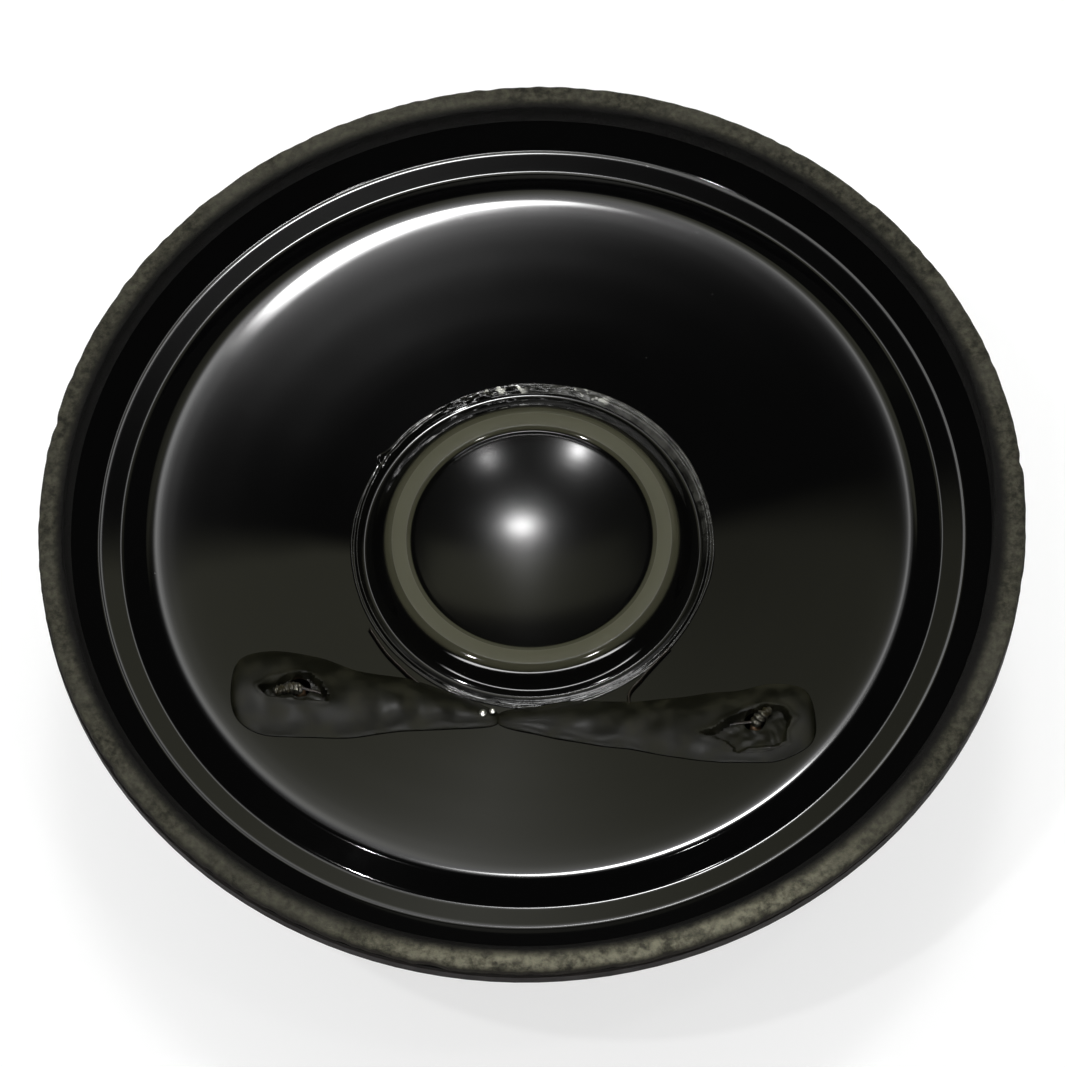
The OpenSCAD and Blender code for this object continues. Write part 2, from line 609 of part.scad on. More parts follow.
// Turn of each cavity from the X axis, in degrees
left_cavity_turn = 10;
right_cavity_turn = 5;
hump_across = 8;
hump_steps = 3;
module hump(stations, height, start, hole, cavity_l, cavity_w, cavity_turn) {
    placed = [for (s = stations) let(p = beside(start, hole, s.x, s.y)) [p.x, p.y, s.z, s[3]]];
    line = smooth(placed, hump_steps);
    last = len(line) - 1;
    m = hump_across;
    rim = 0.05;
    function side_dir(i) = let(d = line[min(i + 1, last)] - line[max(i - 1, 0)]) unit([-d.y, d.x]);
    function plan(i, j) = [line[i].x, line[i].y] + side_dir(i) * line[i].z * (2 * j / m - 1);
    function rise(i, j) = rim + (height - rim) * line[i][3] * pow(1 - pow(2 * j / m - 1, 2), 0.7);
    top = [for (i = [0 : last], j = [0 : m]) over_cone(plan(i, j), seat_gap + rise(i, j))];
    bottom = [for (i = [0 : last], j = [0 : m]) over_cone(plan(i, j), seat_gap)];
    n = len(top);
    function id(i, j) = i * (m + 1) + j;
    skin = [for (i = [0 : last - 1], j = [0 : m - 1]) each
        [[id(i, j), id(i, j + 1), id(i + 1, j + 1)], [id(i, j), id(i + 1, j + 1), id(i + 1, j)]]];
    under = [for (f = skin) [for (k = reversed(f)) k + n]];
    sides = [for (i = [0 : last - 1]) each
        [[id(i, 0), id(i + 1, 0), id(i + 1, 0) + n, id(i, 0) + n],
        [id(i + 1, m), id(i, m), id(i, m) + n, id(i + 1, m) + n]]];
    ends = [for (j = [0 : m - 1]) each
        [[id(0, j + 1), id(0, j), id(0, j) + n, id(0, j + 1) + n],
        [id(last, j), id(last, j + 1), id(last, j + 1) + n, id(last, j) + n]]];
    color("#1d1e1c") difference() {
        polyhedron(concat(top, bottom), concat(skin, under, sides, ends), convexity = 4);
        translate([hole.x, hole.y, neck_bottom]) cylinder(h = face_z, r = lead_hole_r);
        translate([hole.x, hole.y, cone_z(norm(hole)) + height * 0.5]) rotate(cavity_turn)
            linear_extrude(2 * height) {
                square([cavity_l, cavity_w], center = true);
                for (s = [-1, 1]) translate([s * cavity_l / 2, 0]) circle(d = cavity_w);
            }
        cylinder(h = face_z, r = bead_r + seat_gap);
    }
}
module lead_glue_left() hump(left_hump, left_hump_h, left_start, left_hole, left_cavity_l, left_cavity_w,
    left_cavity_turn);
module lead_glue_right() hump(right_hump, right_hump_h, right_start, right_hole, right_cavity_l, right_cavity_w,
    right_cavity_turn);

frame();
gasket();
surround();
top_plate();
magnet();
back_plate();
pole_piece();
magnet_glue();
terminal_board();
board_rivet();
terminal_lug_left();
terminal_lug_right();
terminal_rivets();
terminal_solder();
tinsel_lead_left();
tinsel_lead_right();
cone();
centre_cap();
cap_glue();
coil_former();
voice_coil();
former_glue();
coil_wire_left();
coil_wire_right();
lead_glue_left();
lead_glue_right();
lead_knots();
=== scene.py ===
import math

import bmesh
import bpy
import numpy as np
from mathutils import Matrix, Vector


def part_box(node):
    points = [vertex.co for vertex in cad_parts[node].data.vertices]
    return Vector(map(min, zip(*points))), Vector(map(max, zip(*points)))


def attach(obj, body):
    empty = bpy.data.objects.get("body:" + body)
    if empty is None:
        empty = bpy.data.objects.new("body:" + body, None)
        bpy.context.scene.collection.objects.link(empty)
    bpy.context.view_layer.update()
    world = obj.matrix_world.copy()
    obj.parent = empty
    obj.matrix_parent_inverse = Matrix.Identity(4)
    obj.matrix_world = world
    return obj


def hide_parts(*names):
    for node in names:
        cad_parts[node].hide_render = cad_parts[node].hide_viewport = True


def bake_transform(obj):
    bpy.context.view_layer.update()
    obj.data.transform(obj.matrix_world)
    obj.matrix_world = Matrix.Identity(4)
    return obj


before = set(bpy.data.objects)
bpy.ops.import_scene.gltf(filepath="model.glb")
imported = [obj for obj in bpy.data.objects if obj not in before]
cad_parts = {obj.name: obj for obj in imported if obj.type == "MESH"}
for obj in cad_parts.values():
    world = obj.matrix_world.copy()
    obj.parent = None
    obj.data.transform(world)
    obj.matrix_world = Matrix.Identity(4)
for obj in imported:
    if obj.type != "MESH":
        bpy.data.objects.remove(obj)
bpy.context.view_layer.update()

# Camera: it looks down into the cone from the near side, about 26 degrees off the axis and 0.4 m away.
# Sizes here and in every section below are in millimetres, and a mesh becomes metres when it is made.
MM = 0.001
CAMERA_TILT = math.radians(63.6)
CAMERA_ROLL = math.radians(-3.95)
CAMERA_REACH = 400
CAMERA_LENS = 268.5
CAMERA_SENSOR = 36
CAMERA_CLIP = 10
CAMERA_AIM = (0.105, -0.95)


def span(node):
    """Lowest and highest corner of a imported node, in millimetres."""
    return [np.array(corner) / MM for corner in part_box(node)]


back = Vector((0, -math.cos(CAMERA_TILT), math.sin(CAMERA_TILT)))
across = Vector((1, 0, 0))
upward = back.cross(across)
rolled_across = math.cos(CAMERA_ROLL) * across + math.sin(CAMERA_ROLL) * upward
rolled_upward = math.cos(CAMERA_ROLL) * upward - math.sin(CAMERA_ROLL) * across
camera = bpy.data.objects.new("camera", bpy.data.cameras.new("camera"))
camera.data.lens = CAMERA_LENS
camera.data.sensor_width = CAMERA_SENSOR
camera.data.clip_start = CAMERA_CLIP * MM
camera.matrix_world = Matrix((rolled_across, rolled_upward, back)).transposed().to_4x4()
camera.matrix_world.translation = (Vector((*CAMERA_AIM, span("gasket")[1][2])) + back * CAMERA_REACH) * MM
bpy.context.scene.collection.objects.link(camera)
bpy.context.scene.camera = camera
bpy.context.scene.view_settings.view_transform = "Standard"


# Studio: a pale floor under a dark ceiling, with a grey card behind the speaker, a softbox high over it
# and a strip light on the near side. Two small lamps and a wide fill lamp shine on it as well.
# The glossy film mirrors all but the fill, so each stands in a direction that the film shows.
class Value:
    """A socket in shader maths: each operator on it adds the Math node that works it out."""

    def __init__(self, nodes, socket):
        self.nodes = nodes
        self.socket = socket

    def maths(self, operation, *others):
        return self.nodes.maths(operation, self, *others)

    def __add__(self, other):
        return self.nodes.maths("ADD", self, other)

    def __radd__(self, other):
        return self.nodes.maths("ADD", other, self)

    def __sub__(self, other):
        return self.nodes.maths("SUBTRACT", self, other)

    def __rsub__(self, other):
        return self.nodes.maths("SUBTRACT", other, self)

    def __mul__(self, other):
        return self.nodes.maths("MULTIPLY", self, other)

    def __rmul__(self, other):
        return self.nodes.maths("MULTIPLY", other, self)

    def __truediv__(self, other):
        return self.nodes.maths("DIVIDE", self, other)

    def __rtruediv__(self, other):
        return self.nodes.maths("DIVIDE", other, self)

    def __pow__(self, other):
        return self.nodes.maths("POWER", self, other)

    def __rpow__(self, other):
        return self.nodes.maths("POWER", other, self)

    def rise(self, low, high):
        """0 below low, 1 above high and a smooth step between; falls instead where high is the lower one."""
        inputs = {"Value": self, "From Min": low, "From Max": high}
        return self.nodes.add("MapRange", {"interpolation_type": "SMOOTHSTEP"}, inputs)


class Nodes:
    """A node tree written as Python: add() makes any node, and paint() sets a material's shader."""

    def __init__(self, tree):
        self.tree = tree
        self.shader = tree.nodes.get("Principled BSDF")

    def put(self, socket, value):
        """Links a value to a socket, or sets the socket to a number, a vector or a colour."""
        if isinstance(value, Value):
            self.tree.links.new(value.socket, socket)
        elif socket.type == "RGBA":
            socket.default_value = (*value, 1)
        else:
            socket.default_value = value

    def add(self, kind, settings=None, inputs=None, output=0):
        """A node of a type: its settings come first, then the values or links of its sockets."""
        node = self.tree.nodes.new("ShaderNode" + kind)
        for name, setting in (settings or {}).items():
            setattr(node, name, setting)
        for name, value in (inputs or {}).items():
            self.put(node.inputs[name], value)
        return Value(self, node.outputs[output])

    def paint(self, **values):
        """Sets or links the shader's sockets, which are named with _ for each space."""
        for name, value in values.items():
            self.put(self.shader.inputs[name.replace("_", " ")], value)

    def maths(self, operation, *values):
        """The result of a Math node's operation on values and numbers."""
        return self.add("Math", {"operation": operation}, dict(enumerate(values)))

    def mix(self, share, first, second, blend="MIX"):
        """A colour that goes from the first to the second with share."""
        return self.add("Mix", {"data_type": "RGBA", "blend_type": blend}, {0: share, 6: first, 7: second}, 2)

    def grey(self, strength):
        """A grey light of a strength that may be above 1."""
        return self.add("CombineXYZ", None, {0: strength, 1: strength, 2: strength})

    def along(self, axis):
        """Where a point of the surface is along X, Y or Z, in millimetres."""
        place = self.add("TexCoord", None, None, "Object")
        return self.add("SeparateXYZ", None, {0: place}, axis) * (1 / MM)

    def reach(self):
        """How far a point of the surface is from the axis, in millimetres."""
        x, y = self.along("X"), self.along("Y")
        return (x * x + y * y) ** 0.5

    def noise(self, size, detail=3, stretch=(1, 1, 1), softness=0.5):
        """Random grey round a half, with grains of a size in millimetres, stretched along X, Y or Z."""
        place = self.add("TexCoord", None, None, "Object")
        scale = tuple(1 / (size * MM * longer) for longer in stretch)
        spot = self.add("Mapping", None, {"Vector": place, "Scale": scale})
        grain = {"Vector": spot, "Scale": 1.0, "Detail": detail, "Roughness": softness}
        return self.add("TexNoise", None, grain)

    def bump(self, height, depth):
        """Normals of a surface that a height between 0 and 1 raises by a depth in millimetres."""
        return self.add("Bump", None, {"Strength": 1.0, "Distance": depth * MM, "Height": height})


def finish(name, *pieces):
    """The nodes of a new material on the pieces."""
    material = bpy.data.materials.new(name)
    material.use_nodes = True
    for piece in pieces:
        piece.data.materials.clear()
        piece.data.materials.append(material)
    return Nodes(material.node_tree)


LAMPS = {"lamp_near_right": ((0.24, -0.17, 0.95), 3, 0.18), "lamp_near_left": ((-0.33, -0.165, 0.93), 2, 0.6),
         "fill": ((0.0, 0.25, 0.97), 90, 1.6)}
for name, (direction, width, strength) in LAMPS.items():
    lamp = bpy.data.objects.new(name, bpy.data.lights.new(name, "SUN"))
    lamp.data.angle = math.radians(width)
    lamp.data.energy = strength
    lamp.rotation_mode = "QUATERNION"
    lamp.rotation_quaternion = Vector(direction).to_track_quat("Z", "Y")
    lamp.visible_glossy = name != "fill"
    bpy.context.scene.collection.objects.link(lamp)

CEILING = (0.022, 0.022, 0.020)
CARD = (0.46, 0.46, 0.34)
CARD_SLANT = 1.2
CARD_LEANS, CARD_SIDES = (25, 31, 58, 52), (0.62, 0.42)
STRIP_LEANS, STRIP_SIDES = (-43, -45, -51, -49), (0.75, 0.60)
STRIP_POWER = 14
SOFTBOX_EAST, SOFTBOX_LEAN = 0.056, math.radians(16.4)
SOFTBOX_WIDE, SOFTBOX_HIGH = math.radians(4.9), math.radians(2.9)
SOFTBOX_EDGE, SOFTBOX_POWER = 2.5, 60
GLOW_WIDE, GLOW_NEAR, GLOW_FAR = math.radians(5.1), math.radians(5.0), math.radians(9.5)
GLOW_EDGE, GLOW_POWER = 0.75, 10
HORIZON = 0.2
world = bpy.data.worlds.new("studio")
world.use_nodes = True
bpy.context.scene.world = world
sky = Nodes(world.node_tree)
direction = sky.add("TexCoord", None, None, "Generated")
east, north, height = (sky.add("SeparateXYZ", None, {0: direction}, axis) for axis in "XYZ")
lean = north.maths("ARCTAN2", height)


def panel(leans, sides):
    """Where a panel stands in the sky: it fades in and out along the lean, and to both sides."""
    first, full, last, still_full = (math.radians(degrees) for degrees in leans)
    return lean.rise(first, full) * lean.rise(last, still_full) * east.maths("ABSOLUTE").rise(*sides)


def fading(distance, edge):
    """A light that falls off with a distance: e to the minus of a power of it, sharper for a higher edge."""
    return (distance ** edge * -1).maths("EXPONENT")


card = panel(CARD_LEANS, CARD_SIDES) * (east * CARD_SLANT + 1)
strip = panel(STRIP_LEANS, STRIP_SIDES) * sky.add("LightPath", None, None, "Is Glossy Ray")
aside = east - SOFTBOX_EAST
ahead = lean - SOFTBOX_LEAN
softbox = fading((aside / SOFTBOX_WIDE) ** 2 + (ahead / SOFTBOX_HIGH) ** 2, SOFTBOX_EDGE)
near = ahead.maths("MINIMUM", 0) / GLOW_NEAR
far = ahead.maths("MAXIMUM", 0) / GLOW_FAR
glow = fading((aside / GLOW_WIDE) ** 2 + near ** 2, GLOW_EDGE) * fading(far, 1)
lights = glow * GLOW_POWER + softbox * SOFTBOX_POWER + strip * STRIP_POWER
above = height.rise(0.0, HORIZON)
colour = sky.mix(card * above, CEILING, CARD)
colour = sky.mix(1.0, colour, sky.grey(lights * above), "ADD")
colour = sky.mix(sky.add("LightPath", None, None, "Is Camera Ray"), colour, (1.0, 1.0, 1.0))
sky.put(world.node_tree.nodes["Background"].inputs["Color"], colour)

FLOOR_HALF = 1500
FLOOR_DROP = 0.01
FLOOR_GLOW = 0.72
floor_mesh = bpy.data.meshes.new("floor")
corners = [(FLOOR_HALF * MM * a, FLOOR_HALF * MM * b, 0) for a, b in ((-1, -1), (1, -1), (1, 1), (-1, 1))]
floor_mesh.from_pydata(corners, [], [(0, 1, 2, 3)])
floor = bpy.data.objects.new("floor", floor_mesh)
floor.location.z = -FLOOR_DROP * MM
bpy.context.scene.collection.objects.link(floor)
ground = finish("pale_floor", floor)
rays = [ground.add("LightPath", None, None, kind) for kind in
        ("Is Camera Ray", "Is Glossy Ray", "Is Transmission Ray")]
ground.paint(Base_Color=(0.3, 0.3, 0.3), Roughness=0.9, Emission_Color=(1.0, 1.0, 1.0),
             Emission_Strength=(rays[0] + rays[1] + rays[2]) * FLOOR_GLOW)


# Film diaphragm: one sheet of black polyester film, pressed hot over a mould. Its edge is glued to the
# steel rim under the gasket, its rolled groove flexes, and its shallow cone carries the coil at the neck.
MERGE = 0.001


def closed_piece(name, points, close_rows=True, crease=35):
    """Closed mesh on a grid of points: a face for each square, faces outwards, points in one place merged."""
    rows, columns = points.shape[:2]
    index = np.arange(rows * columns).reshape(rows, columns)
    index = np.pad(index, ((0, int(close_rows)), (0, 1)), mode="wrap")
    faces = np.stack([index[:-1, :-1], index[:-1, 1:], index[1:, 1:], index[1:, :-1]], -1).reshape(-1, 4)
    flat = points.reshape(-1, 3)
    a, b, c, d = (flat[faces[:, k]] for k in range(4))
    volume = np.einsum("ij,ij->", a + b + c + d, np.cross(c - a, d - b))
    if volume < 0:
        faces = faces[:, ::-1]
    mesh = bpy.data.meshes.new(name)
    mesh.from_pydata(flat * MM, [], faces)
    shape = bmesh.new()
    shape.from_mesh(mesh)
    bmesh.ops.remove_doubles(shape, verts=shape.verts, dist=MERGE * MM)
    shape.to_mesh(mesh)
    shape.free()
    piece = bpy.data.objects.new(name, mesh)
    bpy.context.scene.collection.objects.link(piece)
    mesh.polygons.foreach_set("use_smooth", np.ones(len(mesh.polygons), bool))
    mesh.set_sharp_from_angle(angle=math.radians(crease))
    return piece


def about_axis(radius, angle, height):
    """Points at a radius, an angle and a height about the Z axis, from arrays that fit together."""
    radius, angle, height = np.broadcast_arrays(radius, angle, height)
    return np.stack([radius * np.cos(angle), radius * np.sin(angle), height], -1)


def turned(name, outline, steps, closed=True):
    """Solid of revolution: an outline of radii and heights carried round the axis."""
    radius, height = np.array(outline, float).T[:, :, None]
    angle = np.linspace(0, 2 * np.pi, steps, endpoint=False)
    return closed_piece(name, about_axis(radius, angle, height), close_rows=closed)


def drilled(piece, centre, radius, low, high):
    """The piece with a round hole through it, cut by a Boolean that is applied."""
    cutter = turned("drill", [(0, low), (radius, low), (radius, high), (0, high)], steps=48, closed=False)
    cutter.location = (centre[0] * MM, centre[1] * MM, 0)
    cut = piece.modifiers.new("hole", "BOOLEAN")
    cut.object = cutter
    cut.solver = "EXACT"
    bpy.context.view_layer.update()
    seen = piece.evaluated_get(bpy.context.evaluated_depsgraph_get())
    mesh = bpy.data.meshes.new_from_object(seen)
    piece.modifiers.clear()
    piece.data = mesh
    bpy.data.objects.remove(cutter)
    mesh.set_sharp_from_angle(angle=math.radians(35))


def dished(radius, corners, bends):
    """Height of a pressed sheet: straight runs between its corners, averaged over each bend's width."""
    at, level = np.array(corners).T
    width = np.interp(radius, at, bends)
    offsets = np.linspace(-1, 1, 33)
    weight = 1 - offsets ** 2
    runs = np.interp(radius[..., None] + width[..., None] * offsets, at, level)
    return runs @ weight / weight.sum()


def sheet_outline(radius, height, thickness):
    """Outline of a thin sheet in two halves: its front, then its back at the sheet's thickness below."""
    slope = np.gradient(height, radius)
    square = np.stack([slope, -np.ones_like(slope)], -1) / np.sqrt(1 + slope ** 2)[:, None]
    front = np.stack([radius, height], -1)
    return front, (front + thickness * square)[::-1]


def rings(corners, bends, even):
    """Radii of a pressed sheet's rings: evenly spaced, and close together where it bends."""
    at = [corner[0] for corner in corners]
    close = [place + bend * np.linspace(-1, 1, 9) for place, bend in zip(at[1:-1], bends[1:-1])]
    every = np.concatenate([np.linspace(at[0], at[-1], even), *close])
    return np.unique(every.clip(at[0], at[-1]).round(3))


def smooth_step(share):
    """A share from 0 to 1 that starts and ends level."""
    return share ** 2 * (3 - 2 * share)


def places(piece):
    """Where the corners of a piece's mesh are, in millimetres."""
    flat = np.empty(3 * len(piece.data.vertices), np.float32)
    piece.data.vertices.foreach_get("co", flat)
    return flat.reshape(-1, 3).astype(float) / MM


def bend_by(share):
    """Works out each corner's share of the second body, smoothed at both ends; nothing stores it on the
    piece.
    """
    weight = smooth_step(share.clip(0, 1)).astype(np.float32)


FILM_T = 0.12
NECK_R, NECK_TOP = 6.79, 11.96
NECK_BOTTOM = span("cone")[0][2]
NECK_BEND = 0.08
CONE_R, LAND_R = 19.20, 23.25
FILM_TOP = span("surround")[1][2]
FILM_EDGE = span("surround")[1][0]
CREST_R, GROOVE_R, GROOVE_EDGE = 19.22, 20.70, 21.76
FILM_SLOPES = [(12, 13.8), (15, 12.0), (17, 11.0), (17.9, 9.8), (18.6, 7.9), (18.95, 5.4), (CREST_R, 0.5),
               (19.45, -11), (GROOVE_R, -23.5), (GROOVE_EDGE, 12.4), (21.92, -5)]
FILM_CORNERS = [(NECK_R, NECK_TOP)]
for at_radius, degrees in FILM_SLOPES:
    before, level = FILM_CORNERS[-1]
    FILM_CORNERS.append((at_radius, level + (at_radius - before) * math.tan(math.radians(degrees))))
FILM_CORNERS += [(LAND_R, FILM_TOP), (FILM_EDGE, FILM_TOP)]
FILM_BENDS = [0.06, 1.5, 1.0, 0.8, 0.5, 0.3, 0.25, 0.25, 0.10, 0.17, 0.13, 0.09, 0.06, 0.05]


def film_height(radius):
    """Height of the film's front at a distance from the axis."""
    return dished(np.asarray(radius, float), FILM_CORNERS, FILM_BENDS)


LEFT_HOLE = np.array([-12.10, -7.71])
RIGHT_HOLE = np.array([10.47, -11.43])
LEAD_HOLE_R = 0.8
radius = rings(FILM_CORNERS, FILM_BENDS, 70)
front, rear = sheet_outline(radius, film_height(radius), FILM_T)
neck_level = np.linspace(NECK_BOTTOM, front[0, 1] - NECK_BEND, 6)
neck = np.stack([np.full_like(neck_level, NECK_R), neck_level], -1)
outline = np.concatenate([neck, front, rear, neck[::-1] + [FILM_T, 0]])
film = turned("film_diaphragm", outline, steps=264)
for hole in (LEFT_HOLE, RIGHT_HOLE):
    drilled(film, hole, LEAD_HOLE_R, NECK_BOTTOM, FILM_TOP)

look = finish("black_film", film)
haze = look.noise(2.5, detail=5).rise(0.45, 0.85)
scratch = look.noise(0.25, detail=2, stretch=(14, 1, 1)).rise(0.74, 0.82)
speck = look.noise(0.35, detail=1).rise(0.80, 0.84)
swell = look.noise(5.0, detail=1)
look.paint(Base_Color=(0.0010, 0.0010, 0.0011), IOR=1.5, Normal=look.bump(swell, 0.006),
           Roughness=haze * 0.03 + scratch * 0.05 + speck * 0.2 + 0.06)
reach = np.hypot(*places(film)[:, :2].T)
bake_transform(film)
bend_by((LAND_R - reach) / (LAND_R - CONE_R))
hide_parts("surround", "cone")


# Gasket: a ring punched from grey fibre board and glued on the film's edge. The punch was worn, so both
# edges are ragged, and the board is soft enough to round over at its outer edge.
def wave(angle, seed, count, lowest=2):
    """Smooth random ripple round a ring: a sum of cosines of whole turns with random sizes and phases."""
    random = np.random.default_rng(seed)
    turns = np.arange(lowest, lowest + count)
    size = random.normal(size=count) / np.sqrt(turns)
    phase = random.uniform(0, 2 * np.pi, count)
    total = np.cos(np.multiply.outer(angle, turns) + phase) @ size
    return total / np.abs(size).sum()


def hills(turn, spots):
    """A sum of rounded hills along an angle: each has a place, a height and a half width, in degrees."""
    return sum(height * np.exp(-((turn - place) / half) ** 2) for place, height, half in spots)


GASKET_TOP = span("gasket")[1][2]
GASKET_BOTTOM = span("gasket")[0][2]
GASKET_OUT, GASKET_MOST = 24.86, 24.99
GASKET_IN = 23.58
GASKET_FOOT = LAND_R - 0.04
EDGE_ROUND, BORE_ROUND = 0.26, 0.12
FACE_LUMP = 0.012
WIDER_AT = [0, 8, 20, 180, 190, 200, 300, 335, 350, 360]
WIDER_BY = [0.2, 0.1, 0, 0, 0.12, 0, 0, 0.3, 0.36, 0.2]
NICKS = [(163, 0.10, 0.8), (209, 0.10, 0.7), (3, 0.12, 0.9), (255, 0.06, 1.2), (276, 0.05, 0.8),
         (231, 0.05, 0.6)]
angle = np.linspace(0, 2 * np.pi, 1440, endpoint=False)
turn = np.degrees(angle)
fringe = 0.21 * wave(angle, 3, 170, 30) + 0.03 * wave(angle, 4, 20)
bore = GASKET_IN - np.interp(turn, WIDER_AT, WIDER_BY) + 0.5 * fringe
edge = GASKET_OUT + 0.10 * np.cos(np.radians(turn - 50)) + 0.04 * wave(angle, 5, 6)
edge = (edge + fringe - hills(turn, NICKS)).clip(max=GASKET_MOST)
arc = np.linspace(0, np.pi / 2, 6)
rows = [(GASKET_FOOT, GASKET_BOTTOM), (bore - 0.03, GASKET_BOTTOM + 0.3)]
rows += [(bore + BORE_ROUND * (1 - np.cos(a)), GASKET_TOP - BORE_ROUND * (1 - np.sin(a))) for a in arc]
rows += [(bore + (edge - bore) * share, GASKET_TOP) for share in (0.3, 0.5, 0.7)]
rows += [(edge - EDGE_ROUND * (1 - np.sin(a)), GASKET_TOP - EDGE_ROUND * (1 - np.cos(a))) for a in arc]
rows += [(edge + 0.015, GASKET_TOP - 0.4), (edge - 0.02, GASKET_BOTTOM)]
points = []
for k, (r, z) in enumerate(rows):
    sunk = FACE_LUMP * np.maximum(1 + wave(angle, 20 + k, 140, 25) * 5, 0) * (z > GASKET_BOTTOM + 0.1)
    points.append(about_axis(np.minimum(r, GASKET_MOST + 0.005), angle, z - sunk))
gasket = closed_piece("gasket_ring", np.array(points), crease=60)

look = finish("fibre_board", gasket)
fleck = look.noise(0.45, detail=6, softness=0.7)
cloud = look.noise(3.5, detail=3).rise(0.40, 0.72)
patches = look.noise(0.7, detail=5, softness=0.7).rise(0.34, 0.66)
# Painted light: the face is made paler in patches on the near side, standing in for light falling more
# brightly there.
pale_patches = patches * (look.along("X") * 0.12 - look.along("Y")).rise(19.0, 24.0)
wall = look.along("Z").rise(GASKET_TOP - 0.10, GASKET_TOP - 0.38)
shaded = look.reach().rise(GASKET_IN + 0.6, GASKET_IN + 0.05) ** 0.7
grain = look.noise(0.16, detail=4, softness=0.65)
colour = look.mix(fleck.rise(0.32, 0.72), (0.012, 0.0115, 0.0080), (0.070, 0.0675, 0.0480))
colour = look.mix(cloud * 0.5, colour, (0.075, 0.073, 0.056))
colour = look.mix(pale_patches * 0.8, colour, (0.230, 0.220, 0.160))
colour = look.mix(wall * 0.85, colour, (0.012, 0.009, 0.0075))
colour = look.mix(shaded, colour, (0.0030, 0.0028, 0.0024))
look.paint(Base_Color=colour, Roughness=0.92, Specular_IOR_Level=0.25,
           Normal=look.bump(fleck + grain * 0.6, 0.12))
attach(gasket, "root")
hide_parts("gasket")


# Centre cap: thin film formed into a shallow dish inside a raised ring. The mould was sandblasted under
# the ring, so that is satin, and polished elsewhere. Its flange is glued on the cone over the coil.
DISH_R, DISH_EDGE, DISH_STEP = 15.5, 5.97, 0.3
RIDGE_Z = span("centre_cap")[1][2]
RIDGE_IN, RIDGE_R, RIDGE_OUT, RIDGE_FALL = 6.12, 6.765, 7.42, 0.09
WALL_FOOT, FOOT_Z, FLANGE_R, FLANGE_LIFT = 8.38, 12.41, 8.90, 0.142
FLANGE_Z = float(film_height(FLANGE_R)) + FLANGE_LIFT


def dish_height(radius):
    """Height of the dish: a sphere's inside below the ring, level with its own edge at the dish's edge."""
    below = math.sqrt(DISH_R ** 2 - radius ** 2)
    return RIDGE_Z - DISH_STEP - below + math.sqrt(DISH_R ** 2 - DISH_EDGE ** 2)


CAP_CORNERS = [(r, dish_height(r)) for r in np.linspace(0, DISH_EDGE, 12)]
CAP_CORNERS += [(RIDGE_IN, RIDGE_Z - RIDGE_FALL), (RIDGE_R, RIDGE_Z), (RIDGE_OUT, RIDGE_Z - RIDGE_FALL),
                (WALL_FOOT, FOOT_Z), (FLANGE_R, FLANGE_Z)]
CAP_BENDS = [0.5] * 10 + [0.3, 0.10, 0.22, 0.4, 0.40, 0.42, 0.05]
radius = rings(CAP_CORNERS, CAP_BENDS, 90)
outline = np.concatenate(sheet_outline(radius, dished(radius, CAP_CORNERS, CAP_BENDS), FILM_T))
cap = turned("dished_cap", outline, steps=208, closed=False)

look = finish("formed_cap", cap)
reach = look.reach()
ring = reach.rise(6.10, 6.18) * reach.rise(7.56, 7.36)
satin = reach.rise(6.28, 6.44) * reach.rise(7.16, 7.00)
dish = reach.rise(6.08, 5.98)
mist = look.noise(0.8, detail=4)
blasted = look.noise(0.05, detail=3) * satin
pale = look.mix(satin, (0.036, 0.0355, 0.0225), (0.042, 0.0415, 0.019))
look.paint(Base_Color=look.mix(ring, (0.0015, 0.0015, 0.0014), pale), IOR=1.5,
           Roughness=dish * 0.14 + satin * 0.58 + mist * 0.03 + 0.05, Normal=look.bump(blasted, 0.006))
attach(cap, "cone_body")
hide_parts("centre_cap")


# Adhesive bead: clear rubber cement run round the edge of the cap's flange by hand. It is uneven, with
# lumps on the far side and a wide thin smear on the right, and the far side's lumps carry white painted
# highlights.
BEAD_IN, BEAD_OUT, BEAD_TOP, BEAD_LIFT = 8.64, 9.20, 0.06, 0.01
CLUMPS = [(103, 1, 16), (72, 0.8, 9), (143, 0.5, 5)]
SMEAR = [(38, 1, 26)]
NUB = [(143, 1, 2.2)]
BEAD_ROWS = 15
angle = np.linspace(0, 2 * np.pi, 1080, endpoint=False)
turn = np.degrees(angle)
clumps, smear, nub = hills(turn, CLUMPS), hills(turn, SMEAR), hills(turn, NUB)
outer = BEAD_OUT + 0.22 * nub + 0.10 * wave(angle, 31, 9) + 0.03 * wave(angle, 32, 40, 12) + 0.06 * smear
inner = BEAD_IN + 0.06 * wave(angle, 33, 14) - 0.08 * smear
top = BEAD_TOP + 0.015 * wave(angle, 34, 24, 3) + 0.05 * smear + 0.06 * clumps + 0.1 * nub
share = np.linspace(0, 1, BEAD_ROWS)[:, None]
reach = inner + (outer - inner) * share
bulge = top * share ** 0.9 * (1 - share ** 10) ** 0.5
rough = np.stack([wave(angle, 40 + k, 50, 9) for k in range(BEAD_ROWS)])
rough = (rough + np.roll(rough, 1, 0) + np.roll(rough, -1, 0)) * (0.012 + 0.24 * clumps)
rough = rough * np.sin(np.pi * share)
flange = FOOT_Z + (reach - WALL_FOOT) * (FLANGE_Z - FOOT_Z) / (FLANGE_R - WALL_FOOT)
past = np.clip((reach - FLANGE_R) / 0.12, 0, 1)
low = flange * (1 - past) + film_height(reach) * past + BEAD_LIFT
upper = about_axis(reach, angle, low + np.maximum(bulge + rough, 0.005))
bead = closed_piece("cement_bead", np.concatenate([upper, about_axis(reach, angle, low)[::-1]]), crease=80)

